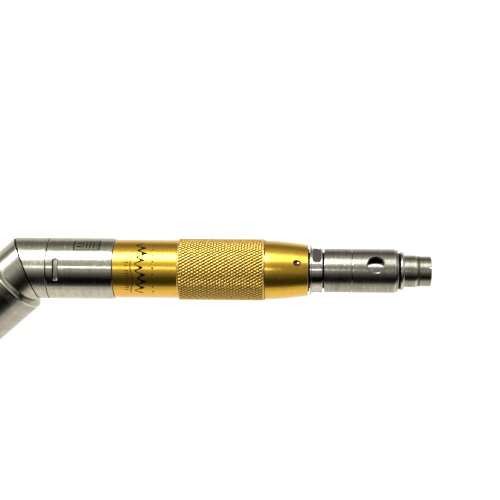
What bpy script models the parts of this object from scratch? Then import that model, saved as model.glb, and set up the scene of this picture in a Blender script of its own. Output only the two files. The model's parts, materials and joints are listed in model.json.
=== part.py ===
"""Air-driven rotary handpiece with a mitred swivel elbow, the body that a prophy angle slips onto.

The barrel runs along +X towards the tool, the index mark on the collar faces +Z, and the elbow leads
back to the hose. The world origin is the centre of the hose connection face. Lengths in this file are
in millimetres, and MM turns them into metres where a mesh is made. Along the barrel, x is counted
from the mitre centre, the point where the axes of barrel, mitre joint and rear arm cross.
"""

import math

import bmesh
import bpy
from mathutils import Matrix, Quaternion, Vector

MM = 0.001
SHELL_SEGMENTS = 28
CORE_SEGMENTS = 18
MITRE_SEGMENTS = 24
SMOOTH_ANGLE = math.radians(32)
TOP = 90.0  # direction of +Z round the barrel axis, in degrees from +Y

# Mitre joint and rear arm
MITRE_ANGLE = 22.5  # the joint plane's tilt, half of the largest bend
SWIVEL_AT_REST = 47.0  # turn of the mitre joint away from its fully bent place
ELBOW_ROLL = 4.0  # turn of the elbow about the barrel
JOINT_GAP = 0.12  # each half's distance from the mitre plane
BARREL_R = 9.5
AIR_BORE_R = 3.5
JOURNAL_POCKET_R = 6.3
JOURNAL_POCKET_DEPTH = 3.0
JOURNAL_SEAT_R = 4.6
JOURNAL_SEAT_DEPTH = 3.6
JOURNAL_SPAN = (-3.4, 1.25, 2.2)  # rear end, underside of the flange, front end
JOURNAL_R = (3.1, 4.42, 5.95)  # bore, stem, flange
RETAINER_TUBE = (0.25, 1.05, 4.68, 6.15)  # start, end, bore radius, outer radius
SWIVEL_WASHER_TUBE = (2.35, 2.85, 4.0, 6.0)

# Rear arm, counted along its own axis from the mitre centre
NECK_END = 4.35
NECK_JOURNAL_R = 8.0
NECK_GROOVES = ((8.6, 10.0, 7.2), (17.6, 19.0, 7.2), (22.7, 23.7, 7.3))  # start, end, floor radius
COUPLING_ORING = (7.66, 0.36)  # radius of the ring and of its section
COUPLING_CLIP = ((22.8, 23.6), (7.45, 8.75))
CLIP_ARC = (-70, 250)
NECK_TAIL_END = 24.6
COUPLING_R = 11.43
COUPLING_START = 4.5
COUPLING_SHOULDER = 5.5
COUPLING_END = 36.0
COUPLING_BORE_R = 8.15
COUPLING_REAR_BORE_R = 9.0
COUPLING_STEP = 22.5
INSERT_START = 26.0
HOSE_FACE = 44.0
HOSE_TAIL_R = 7.6
HOSE_PORTS = ((1.9, 3.7, 97.0), (1.6, 3.9, 277.0), (0.7, 4.3, 7.0), (0.7, 4.3, 187.0))

# Barrel stations and radii
ELBOW_FRONT_END = 7.35
ELBOW_SPIGOT_R = 8.15
ELBOW_SPIGOT_END = 12.7
ELBOW_GROOVE = (8.0, 9.2, 7.3)
ELBOW_ORING = (7.88, 0.36)
HOUSING_START = 7.6
HOUSING_END = 28.0
HOUSING_SPIGOT_BORE_R = 8.4
HOUSING_BORE_R = 8.6
RING_SLOT_X = 10.5
RING_SLOT_WIDTH = 1.65
RING_SLOT_ARC = (86.5, 129.0)
RING_WIDTH = 1.25
RING_R = (7.65, 8.95)
DIMPLE_X = 13.0
DIMPLE_AT = 62.0
BODY_START = 13.5
BODY_END = 78.0
BODY_R = 8.5
BODY_BORE_R = 7.45
INNER_R = 7.35  # parts pushed into the motor body
GRIP_GROOVE = (33.4, 34.6, 7.98)
GRIP_ORING = (8.27, 0.22)
GRIP_START = 28.2
KNURL_START = 48.0
GRIP_END = 74.95
BAND_R = 9.07
KNURL_R = 9.54
COLLAR_START = 75.05
COLLAR_END = 88.35
COLLAR_R = (9.2, 7.95)
COLLAR_CURVE = 1.6
COLLAR_STEPS = 7
COLLAR_BORE_R = 6.75
SLEEVE_BORE_R = 8.6

# Air motor
SPACER_START = 14.0
SPACER_BORE_R = 6.0
REAR_PLATE = (22.0, 28.0)
LINER = (28.2, 50.2)
FRONT_PLATE = (50.4, 56.4)
LINER_BORE_R = 5.8
LINER_OFFSET = 0.65
ROTOR_R = 5.0
ROTOR_SLOT_FLOOR = 2.3
VANE_COUNT = 4
VANE_THICKNESS = 0.75
VANE_CLEARANCE = 0.08
SHAFT_R = 1.5
SHAFT_SPAN = (20.5, 69.5)
SHAFT_HOLE_R = 1.9
BEARING_WIDTH = 2.5
BEARING_R = 4.5
BEARING_BORE_R = 1.6
RACE_OUTER_R = 3.72
RACE_INNER_R = 2.28
BALL_R = 0.62
BALL_PITCH_R = 3.0
BALL_COUNT = 7
REAR_BEARING_X = 22.4
FRONT_BEARING_X = 53.5
PRELOAD_WASHER_TUBE = (56.6, 57.2, 3.9, 5.2)
FRONT_NUT_TUBE = (57.5, 60.5, 4.2, INNER_R)

# Nose
CORE_BASE_START = 72.0
CORE_STEM_R = 6.6
CORE_STEM_END = 88.7
CORE_R = 5.56
FLANGE = (88.95, 89.4)
FLANGE_R = 7.78
POCKET_RING_END = 92.8
POCKET_RING_R = 6.88
POCKET_COUNT = 3
POCKET_FIRST = 56.0
POCKET_FLOOR = 6.1
TUBE_R = 6.76
TUBE_BORE_R = 5.66
REAR_TUBE = (93.35, 101.8)
FRONT_TUBE = (101.95, 116.1)
WINDOW_X = 109.2
WINDOW_R = 2.7
SNAP_RING = (116.9, 117.9)
SNAP_RING_R = (4.85, 6.05)
SPIGOT_START = 118.0
SPIGOT_R = 4.94
SPIGOT_STEP = (121.7, 122.6)
SPIGOT_TIP_R = 4.63
MOUTH_R = 3.9
SEAL_STOP_R = 3.4
CORE_BORE_R = 4.75
CORE_REAR_BORE_R = 5.5
PUSHER_END_CLEAR = 88.0  # where the wide rear bore, which the pusher slides in, ends
BUSHING_TUBE = (117.0, 121.3, 3.1, 3.95)
BUSHING_BORE_R = 4.05
SEAL_TUBE = (123.1, 124.5, 2.75, 3.75)
TIP = 126.35

# Chuck
CHUCK_START = 62.0
CHUCK_R = 3.6
CHUCK_WINDOW_R = 4.4
CHUCK_SHOULDERS = (94.5, 115.8)
CHUCK_SOCKET_END = 72.0
SPRING_STOP = (103.9, 105.4)
CHUCK_END = 122.7
CHUCK_NOSE_R = 3.0
CHUCK_BORE_R = 2.6
SHANK_BORE_R = 1.18
COLLET_R = 2.4
COLLET_STEM_R = 1.3
COLLET_TAIL = (84.4, 89.8)
COLLET_HEAD = 109.5
COLLET_END = 124.8
SHANK_BORE_END = 111.0
COLLET_SLIT = (119.5, 14.0, 0.4)  # middle, length, width
SPRING_SPAN = (90.3, 103.5)
SPRING_R = 2.0
SPRING_WIRE_R = 0.28
SPRING_TURNS = 6
CROSS_PIN_X = 87.2
CROSS_PIN_R = 0.6
CROSS_PIN_REACH = 4.6
COLLET_TRAVEL = 1.2
PUSHER = (82.4, 86.3)
PUSHER_R = (3.75, 5.35)
CAM_PIN_X = 85.35
CAM_PIN_R = 0.45
CAM_PIN_SPAN = (4.85, 8.2)
INDEX_X = 84.95
INDEX_SIZE = (1.45, 1.95)
TWIST = 45.0

MATERIALS = {
    "brushed_steel": ((0.62, 0.60, 0.55, 1), 0.32, 1.0),
    "satin_steel": ((0.46, 0.44, 0.39, 1), 0.45, 1.0),
    "polished_steel": ((0.72, 0.71, 0.69, 1), 0.12, 1.0),
    "gold_anodised": ((0.80, 0.52, 0.10, 1), 0.25, 1.0),
    "bearing_steel": ((0.55, 0.55, 0.56, 1), 0.2, 1.0),
    "spring_steel": ((0.38, 0.38, 0.38, 1), 0.3, 1.0),
    "bronze": ((0.55, 0.33, 0.14, 1), 0.4, 1.0),
    "phenolic": ((0.28, 0.13, 0.05, 1), 0.6, 0.0),
    "black_rubber": ((0.02, 0.02, 0.02, 1), 0.7, 0.0),
}


def clear_scene():
    for obj in list(bpy.data.objects):
        bpy.data.objects.remove(obj, do_unlink=True)


def material(finish, name):
    """One sub-part's own copy of a finish."""
    colour, roughness, metallic = MATERIALS[finish]
    made = bpy.data.materials.new(name)
    made.use_nodes = True
    shader = made.node_tree.nodes["Principled BSDF"]
    shader.inputs["Base Color"].default_value = colour
    shader.inputs["Roughness"].default_value = roughness
    shader.inputs["Metallic"].default_value = metallic
    return made


def axis_empty(name, direction, parent):
    """An empty whose local X lies along a joint's axis. The parts on that axis are its children."""
    empty = bpy.data.objects.new(name, None)
    empty.empty_display_size = 10 * MM
    empty.rotation_mode = "QUATERNION"
    empty.rotation_quaternion = Vector(direction).to_track_quat("X", "Z")
    empty.parent = parent
    bpy.context.collection.objects.link(empty)
    return empty


def arm_directions():
    """The mitre joint's axis and the rear arm's axis, at rest, in the barrel's frame."""
    tilt = math.radians(MITRE_ANGLE)
    normal = Vector((math.cos(tilt), math.sin(tilt), 0))
    bent = Vector((-math.cos(2 * tilt), -math.sin(2 * tilt), 0))
    arm = Quaternion(normal, math.radians(SWIVEL_AT_REST)) @ bent
    roll = Quaternion((1, 0, 0), math.radians(ELBOW_ROLL))
    return roll @ normal, roll @ arm


def add_object(name, bm, axis, finish=None):
    """Puts a finished bmesh into the scene. Without a finish it is a hidden cutter."""
    mesh = bpy.data.meshes.new(name)
    bmesh.ops.recalc_face_normals(bm, faces=bm.faces)
    bm.to_mesh(mesh)
    bm.free()
    obj = bpy.data.objects.new(name, mesh)
    obj.parent = axis
    bpy.context.collection.objects.link(obj)
    if finish:
        mesh.materials.append(material(finish, name))
        mesh.shade_smooth()
        mesh.set_sharp_from_angle(angle=SMOOTH_ANGLE)
    else:
        obj.hide_render = True
        obj.display_type = "WIRE"
    return obj


def turned_bmesh(outline, segments):
    """An outline of (x, radius) points, turned a full circle about the local X axis.

    It closes on itself, unless it starts and ends on the axis.
    """
    bm = bmesh.new()
    points = [bm.verts.new((x * MM, r * MM, 0)) for x, r in outline]
    solid = outline[0][1] == 0 and outline[-1][1] == 0
    onward = points[1:] if solid else points[1:] + points[:1]
    edges = [bm.edges.new(pair) for pair in zip(points, onward)]
    bmesh.ops.spin(
        bm,
        geom=points + edges,
        cent=(0, 0, 0),
        axis=(1, 0, 0),
        angle=math.tau,
        steps=segments,
        use_merge=True,
    )
    bmesh.ops.remove_doubles(bm, verts=bm.verts, dist=1e-7)
    return bm


def turned(name, outline, axis, finish=None, segments=SHELL_SEGMENTS):
    return add_object(name, turned_bmesh(outline, segments), axis, finish)


def tube_outline(start, end, inner, outer, bevel=0.0):
    """A plain tube or ring, with its outer edges bevelled."""
    if not bevel:
        return [(start, inner), (start, outer), (end, outer), (end, inner)]
    return [
        (start, inner),
        (start, outer - bevel),
        (start + bevel, outer),
        (end - bevel, outer),
        (end, outer - bevel),
        (end, inner),
    ]


def grooves(spans, radius):
    """The points of plain grooves, each given as (start, end, floor radius), in a shaft of this radius."""
    return [
        point
        for start, end, floor in spans
        for point in ((start, radius), (start, floor), (end, floor), (end, radius))
    ]


def arc_block(name, span, radii, arc, axis, finish=None, advance=0.0, step=6.0):
    """A rectangle in (x, radius) swept through part of a turn, moving along x by advance if it is helical."""
    bm = bmesh.new()
    start = math.radians(arc[0])
    corners = [(span[0], radii[0]), (span[1], radii[0]), (span[1], radii[1]), (span[0], radii[1])]
    points = [
        bm.verts.new((x * MM, r * MM * math.cos(start), r * MM * math.sin(start)))
        for x, r in corners
    ]
    face = bm.faces.new(points)
    steps = max(2, round(abs(arc[1] - arc[0]) / step))
    bmesh.ops.spin(
        bm,
        geom=[face],
        cent=(0, 0, 0),
        axis=(1, 0, 0),
        dvec=(advance * MM / steps, 0, 0),
        angle=math.radians(arc[1] - arc[0]),
        steps=steps,
    )
    return add_object(name, bm, axis, finish)


def radial_prism(name, x, at, outline, reach, axis, finish=None):
    """An outline of (x, sideways) points pushed outwards along the radius at the angle `at`."""
    bm = bmesh.new()
    turn = Matrix.Rotation(math.radians(at), 3, "X")
    base = bm.faces.new(
        [bm.verts.new(turn @ Vector(((x + u) * MM, reach[0] * MM, v * MM))) for u, v in outline]
    )
    made = bmesh.ops.extrude_face_region(bm, geom=[base])
    lifted = [item for item in made["geom"] if isinstance(item, bmesh.types.BMVert)]
    bmesh.ops.translate(bm, verts=lifted, vec=turn @ Vector((0, (reach[1] - reach[0]) * MM, 0)))
    return add_object(name, bm, axis, finish)


def circle_outline(radius, count=16):
    return [
        (radius * math.cos(math.tau * i / count), radius * math.sin(math.tau * i / count))
        for i in range(count)
    ]


def stadium_outline(width, length, along_x, count=8):
    """Two half circles joined by straight sides."""
    radius = width / 2
    shift = length / 2 - radius
    points = []
    for end in (1, -1):
        for i in range(count + 1):
            turn = math.pi * (i / count - 0.5)
            points.append((end * (shift + radius * math.cos(turn)), end * radius * math.sin(turn)))
    return points if along_x else [(v, u) for u, v in points]


def rod(name, start, end, radius, axis, offset=(0, 0), finish=None, count=16):
    """A plain cylinder parallel to the local X axis."""
    bm = bmesh.new()
    base = bm.faces.new(
        [
            bm.verts.new((start * MM, (offset[0] + u) * MM, (offset[1] + v) * MM))
            for u, v in circle_outline(radius, count)
        ]
    )
    made = bmesh.ops.extrude_face_region(bm, geom=[base])
    lifted = [item for item in made["geom"] if isinstance(item, bmesh.types.BMVert)]
    bmesh.ops.translate(bm, verts=lifted, vec=((end - start) * MM, 0, 0))
    return add_object(name, bm, axis, finish)


def cut(obj, *cutters):
    for cutter in cutters:
        boolean = obj.modifiers.new(cutter.name, "BOOLEAN")
        boolean.operation = "DIFFERENCE"
        boolean.solver = "EXACT"
        boolean.object = cutter


def join_to(obj, other):
    boolean = obj.modifiers.new(other.name, "BOOLEAN")
    boolean.operation = "UNION"
    boolean.solver = "EXACT"
    boolean.object = other


def o_ring(name, groove, size, axis):
    """A rubber ring in the middle of its groove."""
    x = (groove[0] + groove[1]) / 2
    radius, wire = size
    outline = [
        (x + wire * math.cos(math.tau * i / 6), radius + wire * math.sin(math.tau * i / 6))
        for i in range(6)
    ]
    return turned(name, outline, axis, "black_rubber", segments=24)


def half_space(name, mitre_axis, side):
    """A block that removes everything past the mitre plane on one side."""
    near = -side * JOINT_GAP
    far = side * 40
    return rod(name, near, far, 30, mitre_axis, count=8)


def build_elbow_front(barrel, mitre):
    """The barrel's half of the mitre, whose spigot turns inside the housing."""
    ring_groove = (RING_SLOT_X - 0.85, RING_SLOT_X + 0.85, RING_R[0] - 0.2)
    front = turned(
        "elbow_front",
        [
            (-6, AIR_BORE_R),
            (-6, BARREL_R),
            (ELBOW_FRONT_END - 0.15, BARREL_R),
            (ELBOW_FRONT_END, BARREL_R - 0.15),
            (ELBOW_FRONT_END, ELBOW_SPIGOT_R),
            *grooves((ELBOW_GROOVE, ring_groove), ELBOW_SPIGOT_R),
            (ELBOW_SPIGOT_END, ELBOW_SPIGOT_R),
            (ELBOW_SPIGOT_END, AIR_BORE_R),
        ],
        barrel,
        "brushed_steel",
    )
    pocket = rod("journal_pocket", -1, JOURNAL_POCKET_DEPTH, JOURNAL_POCKET_R, mitre, count=24)
    cut(front, half_space("mitre_rear_block", mitre, -1), pocket)
    o_ring("elbow_oring", ELBOW_GROOVE, ELBOW_ORING, barrel)


def build_mitre_joint(mitre):
    """A flanged hollow journal, held by a screwed ring, with a wave washer behind it."""
    rear, shoulder, front = JOURNAL_SPAN
    bore, stem, flange = JOURNAL_R
    journal = [
        (rear, bore),
        (rear, stem),
        (shoulder, stem),
        (shoulder, flange),
        (front, flange),
        (front, bore),
    ]
    retainer = tube_outline(*RETAINER_TUBE)
    washer = tube_outline(*SWIVEL_WASHER_TUBE)
    turned("swivel_journal", journal, mitre, "bearing_steel", segments=MITRE_SEGMENTS)
    turned("swivel_retainer", retainer, mitre, "bronze", segments=MITRE_SEGMENTS)
    turned("swivel_washer", washer, mitre, "spring_steel", segments=MITRE_SEGMENTS)


def build_elbow_rear(rear, mitre):
    """The hose's half of the mitre, with the journal that the hose coupling turns on."""
    body = turned(
        "elbow_rear",
        [
            (-6, AIR_BORE_R),
            (-6, BARREL_R),
            (NECK_END - 0.15, BARREL_R),
            (NECK_END, BARREL_R - 0.15),
            (NECK_END, NECK_JOURNAL_R),
            *grooves(NECK_GROOVES, NECK_JOURNAL_R),
            (NECK_TAIL_END, NECK_JOURNAL_R),
            (NECK_TAIL_END, AIR_BORE_R),
        ],
        rear,
        "brushed_steel",
    )
    seat = rod("journal_seat", -JOURNAL_SEAT_DEPTH, 1, JOURNAL_SEAT_R, mitre, count=24)
    cut(body, half_space("mitre_front_block", mitre, 1), seat)
    o_ring("coupling_oring_front", NECK_GROOVES[0], COUPLING_ORING, rear)
    o_ring("coupling_oring_rear", NECK_GROOVES[1], COUPLING_ORING, rear)
    arc_block("coupling_retainer", *COUPLING_CLIP, CLIP_ARC, rear, "spring_steel")


def build_hose_coupling(rear):
    """The large rear sleeve and the ported insert that the hose screws onto."""
    turned(
        "hose_coupling",
        [
            (COUPLING_START, COUPLING_BORE_R),
            (COUPLING_START, BARREL_R + 0.2),
            (COUPLING_SHOULDER, COUPLING_R),
            (COUPLING_END - 0.5, COUPLING_R),
            (COUPLING_END, COUPLING_R - 0.5),
            (COUPLING_END, COUPLING_REAR_BORE_R),
            (COUPLING_STEP, COUPLING_REAR_BORE_R),
            (COUPLING_STEP, COUPLING_BORE_R),
        ],
        rear,
        "brushed_steel",
    )
    insert = turned(
        "hose_insert",
        [
            (INSERT_START, 0),
            (INSERT_START, COUPLING_REAR_BORE_R - 0.12),
            (COUPLING_END + 0.6, COUPLING_REAR_BORE_R - 0.12),
            (COUPLING_END + 0.6, HOSE_TAIL_R),
            (HOSE_FACE - 0.4, HOSE_TAIL_R),
            (HOSE_FACE, HOSE_TAIL_R - 0.4),
            (HOSE_FACE, 0),
        ],
        rear,
        "satin_steel",
    )
    for number, (radius, distance, at) in enumerate(HOSE_PORTS, 1):
        turn = math.radians(at)
        place = distance * math.cos(turn), distance * math.sin(turn)
        cut(insert, rod(f"hose_port_{number}", INSERT_START - 1, HOSE_FACE + 1, radius, rear, place))


def build_rear_housing(barrel):
    """The steel rear shell, with the slot that shows the spring ring holding the elbow."""
    housing = turned(
        "rear_housing",
        [
            (HOUSING_START, HOUSING_SPIGOT_BORE_R),
            (HOUSING_START, BARREL_R - 0.15),
            (HOUSING_START + 0.15, BARREL_R),
            (HOUSING_END - 0.2, BARREL_R),
            (HOUSING_END, BARREL_R - 0.2),
            (HOUSING_END, HOUSING_BORE_R),
            (BODY_START - 0.3, HOUSING_BORE_R),
            (BODY_START - 0.3, HOUSING_SPIGOT_BORE_R),
            (RING_SLOT_X + 0.8, HOUSING_SPIGOT_BORE_R),
            (RING_SLOT_X + 0.8, RING_R[1] + 0.13),
            (RING_SLOT_X - 0.8, RING_R[1] + 0.13),
            (RING_SLOT_X - 0.8, HOUSING_SPIGOT_BORE_R),
        ],
        barrel,
        "brushed_steel",
    )
    middle = sum(RING_SLOT_ARC) / 2
    length = 2 * BARREL_R * math.sin(math.radians(RING_SLOT_ARC[1] - RING_SLOT_ARC[0]) / 2)
    outline = stadium_outline(RING_SLOT_WIDTH, length, along_x=False)
    slot = radial_prism("ring_slot", RING_SLOT_X, middle, outline, (7, 10.2), barrel)
    dimple = turned_bmesh([(0, 0), (0, 0.7), (0.55, 0)], 12)
    turn = Matrix.Rotation(math.radians(DIMPLE_AT), 4, "X")
    place = turn @ Matrix.Translation((DIMPLE_X * MM, (BARREL_R + 0.05) * MM, 0))
    inwards = Matrix.Rotation(math.pi, 4, "Z") @ Matrix.Rotation(math.pi / 2, 4, "Z")
    bmesh.ops.transform(dimple, matrix=place @ inwards, verts=dimple.verts)
    cut(housing, slot, add_object("dimple", dimple, barrel))
    ring_span = (RING_SLOT_X - RING_WIDTH / 2, RING_SLOT_X + RING_WIDTH / 2)
    arc_block("retaining_ring", ring_span, RING_R, CLIP_ARC, barrel, "satin_steel", step=8)


def bearing(where, x, barrel):
    """Outer race, inner race, and the cage with its balls as one piece."""
    end = x + BEARING_WIDTH
    middle = x + BEARING_WIDTH / 2
    ring = {"axis": barrel, "segments": CORE_SEGMENTS}
    outer = tube_outline(x, end, RACE_OUTER_R, BEARING_R)
    inner = tube_outline(x, end, BEARING_BORE_R, RACE_INNER_R)
    turned(f"{where}_bearing_outer", outer, finish="bearing_steel", **ring)
    turned(f"{where}_bearing_inner", inner, finish="bearing_steel", **ring)
    flat = tube_outline(middle - 0.45, middle + 0.45, BALL_PITCH_R - 0.22, BALL_PITCH_R + 0.22)
    cage = turned(f"{where}_ball_cage", flat, finish="bronze", **ring)
    balls = bmesh.new()
    for i in range(BALL_COUNT):
        turn = math.tau * i / BALL_COUNT
        place = (middle, BALL_PITCH_R * math.cos(turn), BALL_PITCH_R * math.sin(turn))
        centre = Matrix.Translation(Vector(place) * MM)
        bmesh.ops.create_icosphere(balls, subdivisions=2, radius=BALL_R * MM, matrix=centre)
    join_to(cage, add_object(f"{where}_balls", balls, barrel))


def build_motor(barrel):
    """The vane motor: end plates, bearings, eccentric liner, slotted rotor, vanes and shaft."""
    turned(
        "motor_body",
        [
            (BODY_START, BODY_BORE_R),
            (BODY_START, BODY_R),
            *grooves((GRIP_GROOVE,), BODY_R),
            (BODY_END, BODY_R),
            (BODY_END, BODY_BORE_R),
        ],
        barrel,
        "satin_steel",
    )
    core = {"axis": barrel, "segments": CORE_SEGMENTS}
    spacer = tube_outline(SPACER_START, REAR_PLATE[0] - 0.15, SPACER_BORE_R, INNER_R)
    turned("cartridge_spacer", spacer, finish="satin_steel", **core)
    pocket_r = BEARING_R + 0.08
    rear_step = REAR_BEARING_X + BEARING_WIDTH + 0.2
    turned(
        "rear_end_plate",
        [
            (REAR_PLATE[0], pocket_r),
            (REAR_PLATE[0], INNER_R),
            (REAR_PLATE[1], INNER_R),
            (REAR_PLATE[1], SHAFT_HOLE_R),
            (rear_step, SHAFT_HOLE_R),
            (rear_step, pocket_r),
        ],
        finish="satin_steel",
        **core,
    )
    front_step = FRONT_BEARING_X - 0.2
    turned(
        "front_end_plate",
        [
            (FRONT_PLATE[0], SHAFT_HOLE_R),
            (FRONT_PLATE[0], INNER_R),
            (FRONT_PLATE[1], INNER_R),
            (FRONT_PLATE[1], pocket_r),
            (front_step, pocket_r),
            (front_step, SHAFT_HOLE_R),
        ],
        finish="satin_steel",
        **core,
    )
    bearing("rear", REAR_BEARING_X, barrel)
    bearing("front", FRONT_BEARING_X, barrel)
    washer = tube_outline(*PRELOAD_WASHER_TUBE)
    turned("preload_washer", washer, finish="spring_steel", **core)
    turned("front_nut", tube_outline(*FRONT_NUT_TUBE), finish="satin_steel", **core)

    liner = rod("motor_liner", *LINER, INNER_R, barrel, finish="bronze", count=CORE_SEGMENTS)
    bore = rod("liner_bore", LINER[0] - 1, LINER[1] + 1, LINER_BORE_R, barrel, (0, LINER_OFFSET), count=24)
    cut(liner, bore)

    rotor_span = (LINER[0] + 0.25, LINER[1] - 0.25)
    outline = tube_outline(*rotor_span, SHAFT_R + 0.08, ROTOR_R)
    rotor = turned("rotor", outline, finish="satin_steel", **core)
    half_slot = VANE_THICKNESS / 2 + VANE_CLEARANCE
    half_length = (rotor_span[1] - rotor_span[0]) / 2
    middle = (rotor_span[0] + rotor_span[1]) / 2
    for number in range(1, VANE_COUNT + 1):
        at = TOP * number - 45
        slot = rectangle(half_length + 1, half_slot)
        reach = (ROTOR_SLOT_FLOOR, ROTOR_R + 1)
        cut(rotor, radial_prism(f"vane_slot_{number}", middle, at, slot, reach, barrel))
        vane = rectangle(half_length - 0.1, VANE_THICKNESS / 2)
        reach = (ROTOR_SLOT_FLOOR + 0.15, ROTOR_R + 0.05)
        radial_prism(f"vane_{number}", middle, at, vane, reach, barrel, "phenolic")
    start, end = SHAFT_SPAN
    shaft = [(start, 0), (start, SHAFT_R - 0.2), (start + 0.2, SHAFT_R), (end, SHAFT_R), (end, 0)]
    turned("spindle", shaft, finish="bearing_steel", **core)


def rectangle(half_x, half_side):
    return [(-half_x, -half_side), (half_x, -half_side), (half_x, half_side), (-half_x, half_side)]


def collar_outline():
    """The collar's convex taper: its radius falls with a power of the way along, COLLAR_CURVE."""
    points = []
    for i in range(COLLAR_STEPS + 1):
        part = i / COLLAR_STEPS
        x = COLLAR_START + (COLLAR_END - 0.15 - COLLAR_START) * part
        points.append((x, COLLAR_R[0] - (COLLAR_R[0] - COLLAR_R[1]) * part**COLLAR_CURVE))
    return points + [(COLLAR_END, COLLAR_R[1] - 0.15)]


def build_grip(barrel):
    """The gold sleeve and collar, which twist together, and the pin that drives the chuck."""
    turned(
        "grip_sleeve",
        [
            (GRIP_START, SLEEVE_BORE_R),
            (GRIP_START, BAND_R),
            (KNURL_START, BAND_R),
            (KNURL_START, KNURL_R - 0.2),
            (KNURL_START + 0.25, KNURL_R),
            (GRIP_END - 0.25, KNURL_R),
            (GRIP_END, KNURL_R - 0.2),
            (GRIP_END, SLEEVE_BORE_R),
        ],
        barrel,
        "gold_anodised",
    )
    o_ring("grip_oring", GRIP_GROOVE, GRIP_ORING, barrel)
    rest = [
        (COLLAR_END, COLLAR_BORE_R),
        (BODY_END + 0.2, COLLAR_BORE_R),
        (BODY_END + 0.2, SLEEVE_BORE_R),
        (COLLAR_START, SLEEVE_BORE_R),
    ]
    collar = turned("front_collar", collar_outline() + rest, barrel, "gold_anodised")
    outline = stadium_outline(*INDEX_SIZE, along_x=True)
    pocket = radial_prism("index_pocket", INDEX_X, TOP, outline, (7.3, 9.5), barrel)
    hole_r = CAM_PIN_R + 0.08
    hole = radial_prism("pin_hole", CAM_PIN_X, TOP, circle_outline(hole_r), (6.2, 9.5), barrel)
    cut(collar, pocket, hole)
    pin = circle_outline(CAM_PIN_R, 12)
    radial_prism("cam_pin", CAM_PIN_X, TOP, pin, CAM_PIN_SPAN, barrel, "polished_steel")


def build_nose(barrel):
    """The fixed core with its spigot, and the rings and tubes pushed over it."""
    core = turned(
        "nose_core",
        [
            (CORE_BASE_START, CORE_REAR_BORE_R),
            (CORE_BASE_START, INNER_R),
            (BODY_END - 0.2, INNER_R),
            (BODY_END - 0.2, CORE_STEM_R),
            (CORE_STEM_END, CORE_STEM_R),
            (CORE_STEM_END, CORE_R),
            (SNAP_RING[0] - 0.05, CORE_R),
            (SNAP_RING[0] - 0.05, SNAP_RING_R[0] - 0.1),
            (SPIGOT_START - 0.05, SNAP_RING_R[0] - 0.1),
            (SPIGOT_START - 0.05, SPIGOT_R),
            (SPIGOT_STEP[0], SPIGOT_R),
            (SPIGOT_STEP[1], SPIGOT_TIP_R),
            (TIP - 0.5, SPIGOT_TIP_R),
            (TIP - 0.15, SPIGOT_TIP_R - 0.15),
            (TIP, SPIGOT_TIP_R - 0.4),
            (TIP, MOUTH_R),
            (SEAL_TUBE[0] - 0.2, MOUTH_R),
            (SEAL_TUBE[0] - 0.2, SEAL_STOP_R),
            (BUSHING_TUBE[1] + 0.2, SEAL_STOP_R),
            (BUSHING_TUBE[1] + 0.2, BUSHING_BORE_R),
            (BUSHING_TUBE[0] - 0.4, BUSHING_BORE_R),
            (BUSHING_TUBE[0] - 0.4, CORE_BORE_R),
            (PUSHER_END_CLEAR, CORE_BORE_R),
            (PUSHER_END_CLEAR, CORE_REAR_BORE_R),
        ],
        barrel,
        "satin_steel",
    )
    window = circle_outline(WINDOW_R, 20)
    core_window = radial_prism("core_window", WINDOW_X, TOP, window, (3.5, 8), barrel)
    slot_arc = (TOP - 7, TOP + TWIST + 7)
    cam_slot = arc_block("cam_slot", (84.75, 85.95), (4.8, 7.2), slot_arc, barrel)
    notch = radial_prism("tip_notch", TIP, TOP, circle_outline(0.4, 8), (3.7, 5.2), barrel)
    cut(core, core_window, cam_slot, notch)

    ring = turned(
        "pocket_ring",
        [
            (FLANGE[0], TUBE_BORE_R),
            (FLANGE[0], FLANGE_R - 0.1),
            (FLANGE[0] + 0.1, FLANGE_R),
            (FLANGE[1], FLANGE_R),
            (FLANGE[1], POCKET_RING_R),
            (POCKET_RING_END - 0.2, POCKET_RING_R),
            (POCKET_RING_END, POCKET_RING_R - 0.2),
            (POCKET_RING_END, TUBE_BORE_R),
        ],
        barrel,
        "polished_steel",
    )
    pocket_x = (FLANGE[1] + POCKET_RING_END) / 2 - 0.05
    pocket = stadium_outline(2.6, 6.6, along_x=False)
    for i in range(POCKET_COUNT):
        at = POCKET_FIRST + 360 * i / POCKET_COUNT
        cut(ring, radial_prism(f"pocket_{i}", pocket_x, at, pocket, (POCKET_FLOOR, 8), barrel))

    rear_tube = tube_outline(*REAR_TUBE, TUBE_BORE_R, TUBE_R, 0.12)
    turned("nose_tube_rear", rear_tube, barrel, "satin_steel")
    front_tube = turned(
        "nose_tube_front",
        [
            (FRONT_TUBE[0], TUBE_BORE_R),
            (FRONT_TUBE[0], TUBE_R - 0.1),
            (FRONT_TUBE[0] + 0.1, TUBE_R),
            (FRONT_TUBE[1] - 1.0, TUBE_R),
            (FRONT_TUBE[1], TUBE_R - 0.4),
            (FRONT_TUBE[1], TUBE_BORE_R),
        ],
        barrel,
        "satin_steel",
    )
    cut(front_tube, radial_prism("tube_window", WINDOW_X, TOP, window, (3.5, 8), barrel))

    snap_middle = sum(SNAP_RING) / 2
    snap = turned(
        "snap_ring",
        [
            (SNAP_RING[0], SNAP_RING_R[0]),
            (SNAP_RING[0], SNAP_RING_R[1]),
            (SNAP_RING[0] + 0.5, SNAP_RING_R[1]),
            (SNAP_RING[1], SNAP_RING_R[1] - 0.3),
            (SNAP_RING[1], SNAP_RING_R[0]),
        ],
        barrel,
        "spring_steel",
    )
    cut(snap, radial_prism("snap_gap", snap_middle, -TOP, rectangle(2, 1), (2, 8), barrel))
    bush = tube_outline(*BUSHING_TUBE)
    turned("nose_bushing", bush, barrel, "bronze", segments=CORE_SEGMENTS)
    seal = tube_outline(*SEAL_TUBE)
    turned("dust_seal", seal, barrel, "black_rubber", segments=CORE_SEGMENTS)


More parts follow.
